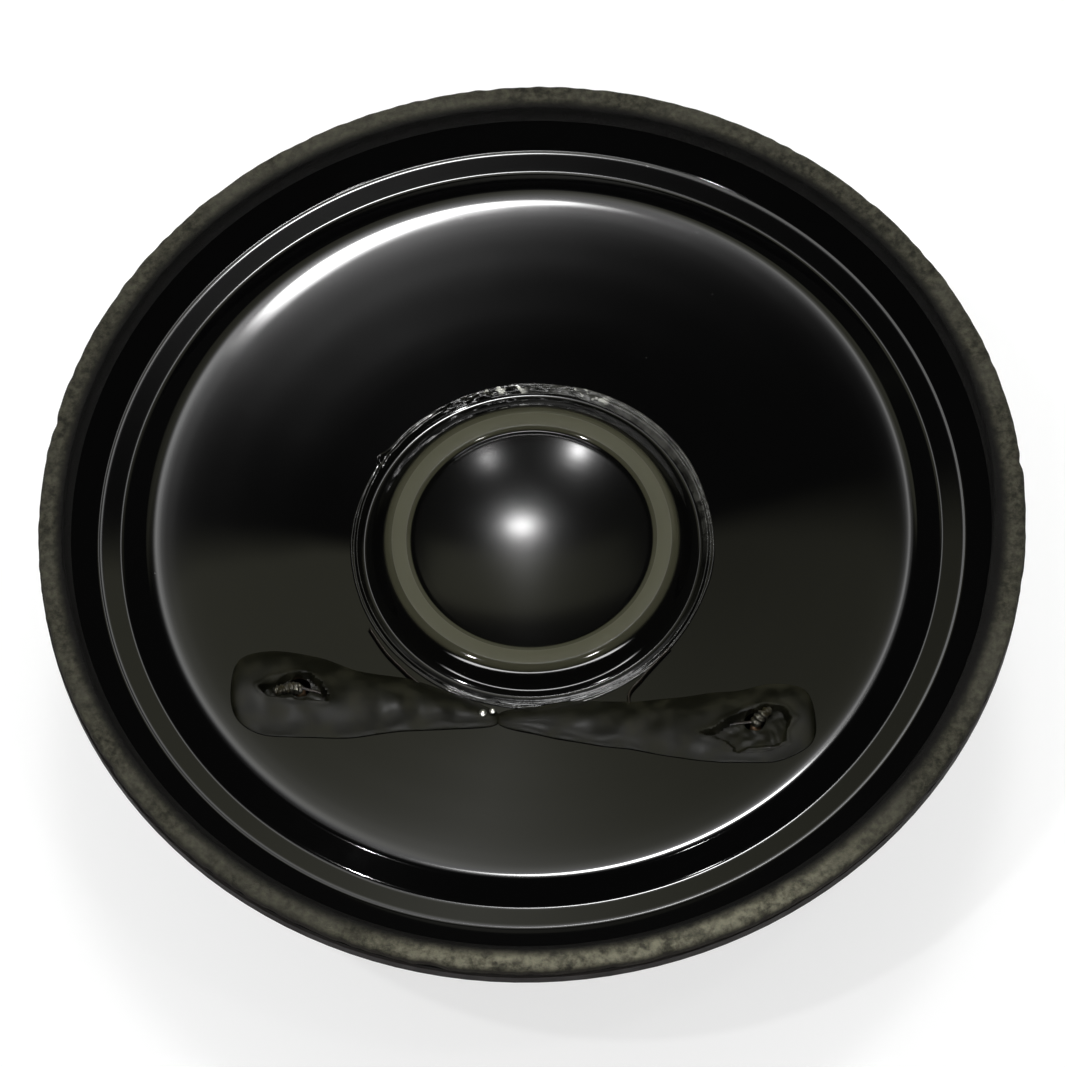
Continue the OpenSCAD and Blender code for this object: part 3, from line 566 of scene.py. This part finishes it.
look = finish("clear_cement", bead)
x, y = look.along("X"), look.along("Y")
streak = look.noise(0.5, detail=4, stretch=(1, 1, 3))
smeared = (x * 0.74 + y * 0.67).rise(5.0, 8.4)
# Painted highlights: white spots in the colour on the far side's lumps stand in for the light they mirror.
glint_spots = look.noise(0.45, detail=2).rise(0.54, 0.62)
far_glints = glint_spots * y.rise(8.60, 8.72) * x.rise(-3.6, -3.0) * x.rise(0.4, -0.2)
right_glints = glint_spots * (x * 0.42 + y * 0.91).rise(8.70, 8.80) * x.rise(1.8, 2.2) * x.rise(4.6, 4.0)
colour = look.mix(smeared * streak.rise(0.25, 0.7), (0.0012, 0.0012, 0.001), (0.045, 0.045, 0.039))
look.paint(Base_Color=look.mix(far_glints + right_glints * 0.6, colour, (0.62, 0.62, 0.56)), IOR=1.47,
           Roughness=smeared * 0.22 + streak.rise(0.4, 0.8) * 0.12 + 0.07,
           Normal=look.bump(look.noise(0.3, detail=2), 0.006))
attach(bead, "cone_body")
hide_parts("cap_glue")


# Lead humps: cement laid by hand over the coil's lead-outs, from the bead to the two lead holes. Each
# is dark and glossy, and ends in a cavity where the cement has sunk round the soldered lead.
def smoothed(path, steps):
    """Smooth curve through the rows of a table, with a number of steps between each pair."""
    path = np.array(path, float)
    padded = np.concatenate([path[:1], path, path[-1:]])
    a, b, c, d = padded[:-3], padded[1:-2], padded[2:-1], padded[3:]
    t = np.arange(steps)[:, None, None] / steps
    runs = (2 * b + (c - a) * t + (2 * a - 5 * b + 4 * c - d) * t ** 2 + (3 * b - a - 3 * c + d) * t ** 3) / 2
    return np.concatenate([runs.transpose(1, 0, 2).reshape(-1, path.shape[1]), path[-1:]])


def lumps(spots, seed, size, count=24):
    """Smooth random bumps over the plan: a sum of cosines in random directions, near 1 at its highest."""
    random = np.random.default_rng(seed)
    heading = random.uniform(0, 2 * np.pi, count)
    pace = 2 * np.pi / (size * random.uniform(0.7, 1.6, count))
    phase = random.uniform(0, 2 * np.pi, count)
    across = spots @ (np.stack([np.cos(heading), np.sin(heading)]) * pace)
    return np.cos(across + phase).sum(-1) / math.sqrt(2 * count)


def depth_inside(spots, outline):
    """Distance from each spot to a closed outline, above zero inside it and below zero outside."""
    a = np.array(outline)
    b = np.roll(a, -1, 0)
    off = spots[..., None, :] - a
    share = ((off * (b - a)).sum(-1) / ((b - a) ** 2).sum(-1)).clip(0, 1)
    gap = np.linalg.norm(off - share[..., None] * (b - a), axis=-1).min(-1)
    turn = (b - a)[:, 0] * off[..., 1] - (b - a)[:, 1] * off[..., 0]
    height = spots[..., None, 1]
    winding = ((a[:, 1] <= height) & (b[:, 1] > height) & (turn > 0)).sum(-1)
    winding -= ((a[:, 1] > height) & (b[:, 1] <= height) & (turn < 0)).sum(-1)
    return np.where(winding != 0, gap, -gap)


def placed(start, hole, share, side):
    """Plan point at a share of the way from a hump's start to its hole, and a distance to the side."""
    way = hole - start
    return start + way * share + side * np.array([-way[1], way[0]]) / np.linalg.norm(way)


def at(reach, azimuth):
    """Plan point at a distance and a direction in degrees."""
    return reach * np.array([math.cos(math.radians(azimuth)), math.sin(math.radians(azimuth))])


HUMP_GAP = 0.02
HUMP_RIM = 0.03
HUMP_HOLE_R = 0.55
LEFT_START, RIGHT_START = at(9.95, 254.5), at(9.95, 259)
LEFT_STATIONS = [(-0.05, 0.05, 0.6, 0.45), (0.1, 0, 0.85, 0.65), (0.25, -0.07, 1.2, 0.85),
                 (0.47, -0.05, 1.6, 1), (0.72, 0.37, 2.0, 1), (0.94, 0.43, 2.35, 1),
                 (1.12, 0.52, 2.45, 0.95), (1.25, 0.62, 2.2, 0.9), (1.35, 0.73, 1.9, 0.8)]
RIGHT_STATIONS = [(-0.04, 0.05, 0.6, 0.45), (0.09, 0.06, 0.8, 0.7), (0.23, 0.11, 1.15, 0.85),
                  (0.51, -0.14, 1.5, 0.9), (0.82, -0.27, 2.05, 1), (1.01, -0.15, 2.2, 1),
                  (1.14, 0.16, 2.1, 0.95), (1.24, 0.39, 1.9, 0.8)]
LEFT_CAVITY = [(-14.1, -7.9), (-13.4, -7.5), (-12.5, -7.15), (-11.85, -7.03), (-11.4, -7.25), (-11.0, -7.75),
               (-10.72, -8.5), (-10.8, -8.8), (-11.7, -8.65), (-13.0, -8.5), (-13.75, -8.4)]
RIGHT_CAVITY = [(7.8, -11.95), (8.7, -11.6), (9.65, -11.2), (10.4, -10.85), (11.25, -10.7), (11.95, -11.1),
                (12.3, -11.7), (11.95, -12.3), (11.9, -12.9), (11.4, -13.1), (10.3, -13.05), (9.4, -13.2),
                (8.9, -12.5)]


def hump(name, stations, height, start, hole, cavity, seed):
    """Mound with a cavity, along stations that give share of the way, side, half width and height."""
    line = smoothed([(*placed(start, hole, share, side), *size) for share, side, *size in stations], 24)
    u = (1 - np.cos(np.linspace(0, np.pi, 170))) / 2
    even = np.linspace(0, 1, len(line))
    line = np.stack([np.interp(u, even, column) for column in line.T], -1)
    along = np.gradient(line[:, :2], u, axis=0)
    side = np.stack([-along[:, 1], along[:, 0]], -1) / np.linalg.norm(along, axis=1)[:, None]
    ends = np.sqrt(1 - np.abs(1 - 2 * u) ** 9)
    across = np.sin(np.linspace(-np.pi / 2, np.pi / 2, 91))
    wide = line[:, 2] * ends
    spread = side[:, None] * (wide[:, None] * across)[..., None]
    edge = 1 + 0.04 * lumps(line[:, None, :2] + spread, seed, 3.2)[..., None]
    plan = line[:, None, :2] + spread * edge
    full = (line[:, 3] * ends)[:, None] * (1 - across ** 2) ** 0.9
    uneven = 1 + 0.08 * lumps(plan, seed + 1, 1.8)
    rise = HUMP_RIM * ends[:, None] ** 2 + (height - HUMP_RIM) * full * uneven
    inside = depth_inside(plan, cavity) + 0.07 * lumps(plan, seed + 2, 0.8)
    sunk = smooth_step(np.clip((inside + 0.05) / 0.22, 0, 1))
    lip = 0.05 * np.exp(-((inside + 0.12) / 0.14) ** 2) * (rise > 0.3)
    bottom = 0.10 + 0.05 * lumps(plan, seed + 3, 0.7)
    rise = (rise + lip) * (1 - sunk) + np.minimum(rise, bottom) * sunk
    ground = film_height(np.hypot(plan[..., 0], plan[..., 1])) + HUMP_GAP
    upper = np.concatenate([plan, (ground + rise)[..., None]], -1)
    lower = np.concatenate([plan, ground[..., None]], -1)
    piece = closed_piece(name, np.concatenate([upper, lower[:, ::-1]], 1), close_rows=False, crease=70)
    drilled(piece, hole, HUMP_HOLE_R, NECK_BOTTOM, FILM_TOP)
    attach(piece, "cone_body")
    return piece


left_hump = hump("lead_hump_left", LEFT_STATIONS, 0.70, LEFT_START, LEFT_HOLE, LEFT_CAVITY, 51)
right_hump = hump("lead_hump_right", RIGHT_STATIONS, 0.65, RIGHT_START, RIGHT_HOLE, RIGHT_CAVITY, 61)
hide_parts("lead_glue_left")
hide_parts("lead_glue_right")
look = finish("dark_cement", left_hump, right_hump)
skin = look.noise(1.1, detail=4)
look.paint(Base_Color=look.mix(skin.rise(0.4, 0.75), (0.0040, 0.0040, 0.0022), (0.0125, 0.0122, 0.0066)),
           Roughness=skin.rise(0.35, 0.7) * 0.25 + 0.33, IOR=1.48, Specular_IOR_Level=0.20,
           Normal=look.bump(look.noise(0.7, detail=2), 0.008))


# Painted highlight: two small bright metal drops between the humps, half sunk in the cement, stand in for a
# glint on the wet cement.
FLECKS = {"left": ((-3.05, -9.50), 0.20), "right": ((-2.55, -9.40), 0.17)}
FLECK_FLAT = 0.6
FLECK_LIFT = 0.44
flecks = []
for hand, (spot, wide) in FLECKS.items():
    lean = np.linspace(0, np.pi, 11)[:, None]
    turn = np.linspace(0, 2 * np.pi, 24, endpoint=False)
    ball = about_axis(wide * np.sin(lean), turn, wide * FLECK_FLAT * np.cos(lean))
    middle = (*spot, float(film_height(np.linalg.norm(spot))) + FLECK_LIFT)
    fleck = closed_piece("glint_fleck_" + hand, ball + middle, close_rows=False)
    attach(fleck, "cone_body")
    flecks.append(fleck)
# The drops' bright metal is the painted highlight.
look = finish("glint_drop_metal", *flecks)
dull = look.noise(0.2, detail=2)
look.paint(Base_Color=look.mix(dull, (0.80, 0.80, 0.76), (0.60, 0.60, 0.55)), Metallic=1.0,
           Roughness=dull * 0.15 + 0.25)


# Coil wires: the two ends of the coil, fine enamelled copper. Each comes out of the bead, runs a little
# way along it and goes under its hump to the lead hole.
def tube(name, path, radius, side, sides=12, weave=None):
    """Round wire along a path, with round ends: weave gives how far it swells at each turn and length."""
    path = np.array(path, float)
    length = np.concatenate([[0], np.cumsum(np.linalg.norm(np.diff(path, axis=0), axis=1))])
    end = radius * (1 - np.cos(np.linspace(0, np.pi / 2, 6)))
    count = 2 * len(path) if weave is None else int(length[-1] / 0.045)
    body = np.linspace(radius, length[-1] - radius, count)[1:-1]
    along = np.concatenate([end, body, (length[-1] - end)[::-1]])
    line = np.stack([np.interp(along, length, column) for column in path.T], -1)
    heading = np.gradient(line, along, axis=0)
    heading /= np.linalg.norm(heading, axis=1)[:, None]
    first = np.empty_like(line)
    now = np.array(side, float)
    for k, ahead in enumerate(heading):
        now = now - (now @ ahead) * ahead
        now /= np.linalg.norm(now)
        first[k] = now
    second = np.cross(heading, first)
    near = np.minimum(along, length[-1] - along)
    taper = np.sqrt(1 - (1 - near / radius).clip(0, 1) ** 2)
    turn = np.linspace(0, 2 * np.pi, sides, endpoint=False)
    swell = radius + (0 if weave is None else weave(turn, along[:, None]))
    reach = taper[:, None] * swell * np.ones((len(along), sides))
    round_it = np.cos(turn)[:, None] * first[:, None] + np.sin(turn)[:, None] * second[:, None]
    return closed_piece(name, line[:, None] + reach[..., None] * round_it, close_rows=False)


WIRE_R = 0.08
WIRE_LIFT = 0.03
WIRE_ROUND = 9.43
left_way = [at(WIRE_ROUND, 206), at(WIRE_ROUND + 0.08, 216), at(WIRE_ROUND + 0.15, 225),
            at(WIRE_ROUND + 0.5, 235), placed(LEFT_START, LEFT_HOLE, 0.45, -0.04),
            placed(LEFT_START, LEFT_HOLE, 0.71, 0.25), LEFT_HOLE]
right_way = [at(WIRE_ROUND - 0.3, 316), at(WIRE_ROUND - 0.25, 309), at(WIRE_ROUND, 302),
             at(WIRE_ROUND + 0.55, 295.5), placed(RIGHT_START, RIGHT_HOLE, 0.55, 0.2),
             placed(RIGHT_START, RIGHT_HOLE, 0.83, -0.15), RIGHT_HOLE]
wires = []
for hand, way in (("left", left_way), ("right", right_way)):
    plan = smoothed(way, 12)
    height = film_height(np.hypot(*plan.T)) + WIRE_R + WIRE_LIFT
    wire = tube("coil_wire_" + hand + "_enamelled", np.column_stack([plan, height]), WIRE_R, (0, 0, 1))
    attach(wire, "cone_body")
    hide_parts("coil_wire_" + hand)
    wires.append(wire)
look = finish("enamelled_copper", *wires)
bare = look.noise(0.3, detail=1).rise(0.2, 0.6)
look.paint(Base_Color=look.mix(look.noise(0.4, detail=2), (0.010, 0.008, 0.006), (0.020, 0.014, 0.010)),
           Metallic=bare * 0.3 + 0.3, Roughness=0.22, IOR=1.5, Coat_Weight=0.6)


# Soldered knots: in each cavity the tinned end of the tinsel lead comes up through the hole, lies over in
# the cement, and holds the coil's wire, wound round it and soldered.
KNOT_R = 0.24
KNOT_RIB = 0.045
KNOTS = {"left": (LEFT_HOLE, np.array([-13.45, -7.98]), 5),
         "right": (RIGHT_HOLE, np.array([11.35, -10.95]), 4)}
knots = []
for hand, (hole, tip, turns) in KNOTS.items():
    level = float(film_height(np.linalg.norm(hole)))
    stops = [(0, -0.25), (0.15, 0.12), (0.5, 0.36), (1, 0.42)]
    way = smoothed([(*(hole * (1 - share) + tip * share), level + rise) for share, rise in stops], 10)

    def wound(turn, along, turns=turns):
        """Solder that has run between the wire's turns: rounded ribs in a helix, higher near the hole."""
        mound = 0.05 * np.exp(-((along - 0.5) / 0.3) ** 2)
        return KNOT_RIB * np.cos(turn - 2 * np.pi * turns * along) + mound

    knot = tube("lead_knot_" + hand, way, KNOT_R, (0, 1, 0), sides=40, weave=wound)
    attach(knot, "cone_body")
    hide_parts("lead_knots")
    knots.append(knot)
look = finish("fluxed_solder", *knots)
flux = look.noise(0.35, detail=4)
look.paint(Base_Color=look.mix(flux.rise(0.42, 0.6), (0.11, 0.105, 0.085), (0.020, 0.017, 0.008)),
           Metallic=flux.rise(0.6, 0.42) * 0.9, Roughness=0.3,
           Normal=look.bump(look.noise(0.12, detail=3), 0.02))


# Tinsel leads: limp braids of thin copper foil on thread, from the knots down to the eyelets. They hang
# slack under the cone, so that it can travel.
TINSEL_R = 0.27
TINSEL_TOP = 0.4
STRAND_T = 0.025
BRAID_PITCH = 1.1
SLACK_Z = 12.35
SOLDER_TOP = span("terminal_solder")[1][2]
BOARD_AZ, EYELET_OUT, EYELET_SIDE = 265, 18.6265, 5.1487
SIDES = {"left": (LEFT_HOLE, -1), "right": (RIGHT_HOLE, 1)}


def eyelet(side):
    """Plan point of the terminal strip's eyelet, to the left or right of its middle."""
    return at(EYELET_OUT, BOARD_AZ) + side * at(EYELET_SIDE, BOARD_AZ + 90)


def braid(turn, along):
    """Two sets of four flat strands that cross: the higher of two ribs that run opposite ways."""
    right_hand = np.cos(4 * turn - 2 * np.pi * along / BRAID_PITCH * 4)
    left_hand = np.cos(4 * turn + 2 * np.pi * along / BRAID_PITCH * 4)
    return STRAND_T * np.maximum(right_hand, left_hand)


leads = []
for hand, (hole, side) in SIDES.items():
    eye = eyelet(side)
    top = float(film_height(np.linalg.norm(hole))) - TINSEL_TOP
    stops = [(0, top), (0, top - 0.6), (0.07, SLACK_Z + 0.15), (0.3, SLACK_Z), (0.65, SLACK_Z + 0.2),
             (0.92, SLACK_Z), (1, SOLDER_TOP + 0.5), (1, SOLDER_TOP - 0.1)]
    way = smoothed([(*(hole * (1 - share) + eye * share), level) for share, level in stops], 8)
    lead = tube("tinsel_" + hand, way, TINSEL_R, (hole[1], -hole[0], 0), sides=32, weave=braid)
    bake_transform(lead)
    bend_by((places(lead)[:, :2] - hole) @ (eye - hole) / ((eye - hole) @ (eye - hole)))
    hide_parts("tinsel_lead_" + hand)
    leads.append(lead)
look = finish("copper_tinsel", *leads)
pale_patches = look.noise(0.3, detail=4)
look.paint(Base_Color=look.mix(pale_patches, (0.40, 0.20, 0.10), (0.62, 0.46, 0.30)), Roughness=0.35,
           Metallic=pale_patches.rise(0.2, 0.7) * 0.4 + 0.6)


# Voice coil: two layers of fine enamelled wire wound on a paper former, which stands in the magnet gap.
# The former is glued in the cone's neck with a brown fillet, and its top edge meets the cap.
COIL_IN, COIL_OUT, COIL_CORE = 6.78, 7.02, 0.12
COIL_LOW, COIL_HIGH = span("voice_coil")[0][2], span("voice_coil")[1][2]
WIRE_PITCH = 0.11
WIRE_GROOVE = 0.025
angle = np.linspace(0, 2 * np.pi, 240, endpoint=False)
level = np.linspace(COIL_LOW + 0.04, COIL_HIGH - 0.04, 124)[:, None]
helix = np.abs(np.sin(np.pi * (level / WIRE_PITCH - angle / (2 * np.pi))))
wall = about_axis(COIL_OUT - 0.03 + WIRE_GROOVE * helix, angle, level)
core = [(COIL_IN + COIL_CORE, COIL_LOW), (COIL_IN, COIL_LOW), (COIL_IN, COIL_HIGH),
        (COIL_IN + COIL_CORE, COIL_HIGH)]
core = np.array([about_axis(r, angle, z) for r, z in core])
coil = closed_piece("wound_coil", np.concatenate([core, wall[::-1]]))
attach(coil, "cone_body")
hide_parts("voice_coil")
look = finish("coil_enamel", coil)
look.paint(Base_Color=look.mix(look.noise(0.5, detail=3), (0.42, 0.13, 0.05), (0.60, 0.24, 0.10)),
           Metallic=look.noise(0.3, detail=1) * 0.2 + 0.75, Roughness=0.25, Coat_Weight=0.5)

look = finish("kraft_paper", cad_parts["coil_former"])
fibre = look.noise(0.2, detail=5, stretch=(1, 1, 4))
lapped = (look.along("Z") * 2.2).maths("FRACT").rise(0.04, 0.0)
colour = look.mix(fibre, (0.36, 0.21, 0.09), (0.52, 0.33, 0.16))
look.paint(Base_Color=look.mix(lapped * 0.6, colour, (0.20, 0.11, 0.05)), Roughness=0.8,
           Normal=look.bump(fibre, 0.02))
look = finish("brown_glue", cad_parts["former_glue"])
look.paint(Base_Color=look.mix(look.noise(0.4, detail=3), (0.06, 0.04, 0.02), (0.14, 0.10, 0.05)),
           Roughness=0.3, Normal=look.bump(look.noise(0.3, detail=2), 0.03))


# Frame: cold-rolled steel pressed to a basket with six curved windows, and dipped black. Its base is
# staked to the top plate, and the film is glued on its rim.
look = finish("black_dip_steel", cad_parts["frame"])
peel = look.noise(0.35, detail=2)
rub = look.noise(1.8, detail=5, softness=0.65)
# Painted shade: the rim's outer edge, below the gasket's edge, is darker and rougher than the rest.
rim_edge_shade = look.reach().rise(24.6, 24.8)
colour = look.mix(rub.rise(0.55, 0.8), (0.013, 0.013, 0.014), (0.032, 0.031, 0.030))
look.paint(Base_Color=look.mix(rim_edge_shade, colour, (0.009, 0.007, 0.006)), IOR=1.5, Specular_IOR_Level=0.35,
           Roughness=rub.rise(0.3, 0.8) * 0.22 + rim_edge_shade * 0.4 + 0.3, Normal=look.bump(peel, 0.012))


# Magnet system: a sintered ferrite ring between two zinc-plated steel plates, with a turned pole in the
# middle. The plates are stamped, and the pole is pressed into the back plate.
def lathe_rings(look, pitch, depth):
    """Fine rings left by a lathe: a wave along the radius, broken up by noise."""
    wavering = look.reach() * (2 * math.pi / pitch) + look.noise(1.5, detail=2) * 6
    return look.bump(wavering.maths("SINE"), depth)


look = finish("zinc_plate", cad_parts["top_plate"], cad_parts["back_plate"])
stain = look.noise(2.2, detail=5, softness=0.6)
spangle = look.noise(0.5, detail=2)
look.paint(Base_Color=look.mix(stain.rise(0.35, 0.75), (0.60, 0.60, 0.58), (0.40, 0.39, 0.36)), Metallic=1.0,
           Roughness=spangle * 0.18 + stain.rise(0.4, 0.8) * 0.15 + 0.22,
           Normal=look.bump(spangle + look.noise(0.09, detail=2), 0.01))
look = finish("turned_pole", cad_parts["pole_piece"])
look.paint(Base_Color=look.mix(look.noise(1.2, detail=4), (0.48, 0.48, 0.47), (0.62, 0.61, 0.59)),
           Metallic=1.0, Roughness=look.noise(0.6, detail=3) * 0.15 + 0.22,
           Normal=lathe_rings(look, 0.18, 0.006))
look = finish("ground_ferrite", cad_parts["magnet"])
grit = look.noise(0.12, detail=3, softness=0.7)
chalk = look.noise(2.5, detail=4)
look.paint(Base_Color=look.mix(grit.rise(0.55, 0.75), (0.020, 0.020, 0.022), (0.055, 0.054, 0.056)), IOR=1.6,
           Roughness=chalk * 0.2 + grit * 0.2 + 0.35, Normal=look.bump(grit + chalk, 0.02))


# Magnet adhesive: two thin layers of dark epoxy. A bead was squeezed out of each at the plate's edge.
PLATE_R, GLUE_IN, GLUE_T = 14.0, 8.8, 0.1
SQUEEZED = 0.4
CREEP, CREEP_RIPPLE = 0.28, 0.10
BACK_PLANE, FRONT_PLANE = span("magnet_glue")[0][2] + SQUEEZED, span("magnet_glue")[1][2] - SQUEEZED
angle = np.linspace(0, 2 * np.pi, 360, endpoint=False)
layers = []
for name, plate_z, away, seed in (("back_glue", BACK_PLANE, -1, 71), ("front_glue", FRONT_PLANE, 1, 72)):
    magnet_z = plate_z - away * GLUE_T
    creep = CREEP + CREEP_RIPPLE * wave(angle, seed, 16, 1)
    rows = [(GLUE_IN, plate_z), (PLATE_R, plate_z)]
    rows += [(PLATE_R + 0.02 + creep * share * 0.9, plate_z + away * creep * (1 - share) ** 2 * 0.95)
             for share in np.linspace(0, 1, 7)]
    rows += [(PLATE_R + creep + 0.06, magnet_z), (GLUE_IN, magnet_z)]
    layer = closed_piece(name, np.array([about_axis(r, angle, z) for r, z in rows]), crease=50)
    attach(layer, "root")
    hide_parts("magnet_glue")
    layers.append(layer)
look = finish("dark_epoxy", *layers)
look.paint(Base_Color=look.mix(look.noise(1.4, detail=3), (0.014, 0.015, 0.012), (0.035, 0.034, 0.025)),
           Roughness=look.noise(0.8, detail=3) * 0.2 + 0.15, IOR=1.52,
           Normal=look.bump(look.noise(0.6, detail=3), 0.04))


# Terminal strip: punched phenolic paper under the frame's shoulder, held by a hollow brass rivet. Two
# eyelets clamp the tinned lugs, and a drop of solder on each holds the end of its tinsel lead.
look = finish("phenolic_paper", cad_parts["terminal_board"])
ply = (look.along("Z") * 7.5).maths("FRACT").rise(0.25, 0.05)
mottle = look.noise(0.7, detail=5, softness=0.6)
colour = look.mix(mottle, (0.20, 0.085, 0.030), (0.32, 0.15, 0.055))
look.paint(Base_Color=look.mix(ply * 0.25, colour, (0.13, 0.05, 0.02)), Roughness=mottle * 0.2 + 0.32,
           IOR=1.55, Normal=look.bump(look.noise(0.15, detail=3), 0.01))
look = finish("rivet_brass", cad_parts["board_rivet"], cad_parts["terminal_rivets"])
tarnish = look.noise(0.5, detail=4)
look.paint(Base_Color=look.mix(tarnish.rise(0.4, 0.75), (0.78, 0.58, 0.28), (0.42, 0.28, 0.12)), Metallic=1.0,
           Roughness=tarnish * 0.25 + 0.2)
look = finish("tinned_lug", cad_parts["terminal_lug_left"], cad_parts["terminal_lug_right"])
dull = look.noise(0.6, detail=4)
look.paint(Base_Color=look.mix(dull, (0.72, 0.71, 0.68), (0.55, 0.53, 0.48)), Roughness=dull * 0.3 + 0.2,
           Metallic=1.0, Normal=look.bump(look.noise(0.25, detail=2), 0.008))

EYELET_TOP = span("terminal_rivets")[1][2]
DROP_R, DROP_LIFT = 0.92, 0.02
DROP_H = SOLDER_TOP - EYELET_TOP
angle = np.linspace(0, 2 * np.pi, 48, endpoint=False)
share = np.linspace(0, 1, 14)
level = EYELET_TOP + DROP_LIFT + DROP_H * np.append(1 - share ** 1.7, 0)
drops = []
for hand, (_, side) in SIDES.items():
    skirt = DROP_R * (1 + 0.10 * wave(angle, 80 + side, 5, 2))
    reach = np.append(share, 0)[:, None] * skirt
    points = about_axis(reach, angle, level[:, None]) + (*eyelet(side), 0)
    drop = closed_piece("solder_drop_" + hand, points, close_rows=False)
    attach(drop, "root")
    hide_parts("terminal_solder")
    drops.append(drop)
look = finish("bright_solder", *drops)
frosting = look.noise(0.3, detail=4)
look.paint(Base_Color=look.mix(frosting, (0.66, 0.66, 0.64), (0.46, 0.45, 0.42)), Metallic=1.0,
           Roughness=frosting * 0.25 + 0.14, Normal=look.bump(frosting, 0.01))
